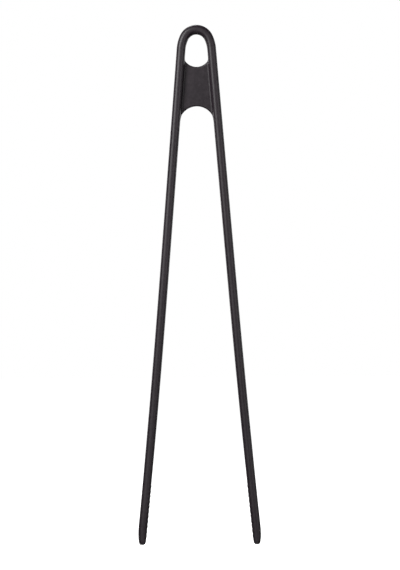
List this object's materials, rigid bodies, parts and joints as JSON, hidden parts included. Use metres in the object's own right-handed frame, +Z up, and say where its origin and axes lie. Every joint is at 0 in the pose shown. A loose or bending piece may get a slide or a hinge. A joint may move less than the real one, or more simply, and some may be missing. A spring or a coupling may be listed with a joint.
{
  "type": "spring loaded kitchen tongs",
  "caption": "Slim silicone-covered kitchen tongs with a hanging loop, a web between sprung arms and ribbed rounded tips, for turning and lifting food.",
  "frame": {"origin": "top of the hanging hole, on its centre plane, where a hook or peg carries the tongs", "axes": "+Z up along the tongs, from the tips to the loop; +X to the right arm; +Y to the back, along the flexing lines"},
  "size_m": [0.0686, 0.013, 0.2901],
  "materials": {
    "silicone": "matte charcoal-black silicone",
    "glass_filled_nylon": "matte black moulded nylon",
    "spring_steel": "rolled stainless spring strip",
    "fixing_steel": "turned stainless"
  },
  "bodies": {
    "head": {"head_skin": "silicone", "spring_strip": "spring_steel", "yoke": "glass_filled_nylon", "left_upper_yoke_screw": "fixing_steel", "left_lower_yoke_screw": "fixing_steel", "right_upper_yoke_screw": "fixing_steel", "right_lower_yoke_screw": "fixing_steel"},
    "left_arm": {"left_arm_skin": "silicone", "left_arm_core": "glass_filled_nylon", "left_upper_rivet": "fixing_steel", "left_lower_rivet": "fixing_steel"},
    "right_arm": {"right_arm_skin": "silicone", "right_arm_core": "glass_filled_nylon", "right_upper_rivet": "fixing_steel", "right_lower_rivet": "fixing_steel"}
  },
  "joints": [
    {"name": "left_arm_flex", "type": "hinge", "parent": "head", "child": "left_arm", "pos_m": [-0.01402, 0, -0.0761], "axis": [0, -1, 0], "range_deg": [-3, 8.1], "stiffness_Nm_per_rad": 1.3, "deforming": ["spring_strip"]},
    {"name": "right_arm_flex", "type": "hinge", "parent": "head", "child": "right_arm", "pos_m": [0.01402, 0, -0.0761], "axis": [0, 1, 0], "range_deg": [-3, 8.1], "stiffness_Nm_per_rad": 1.3, "deforming": ["spring_strip"]}
  ]
}
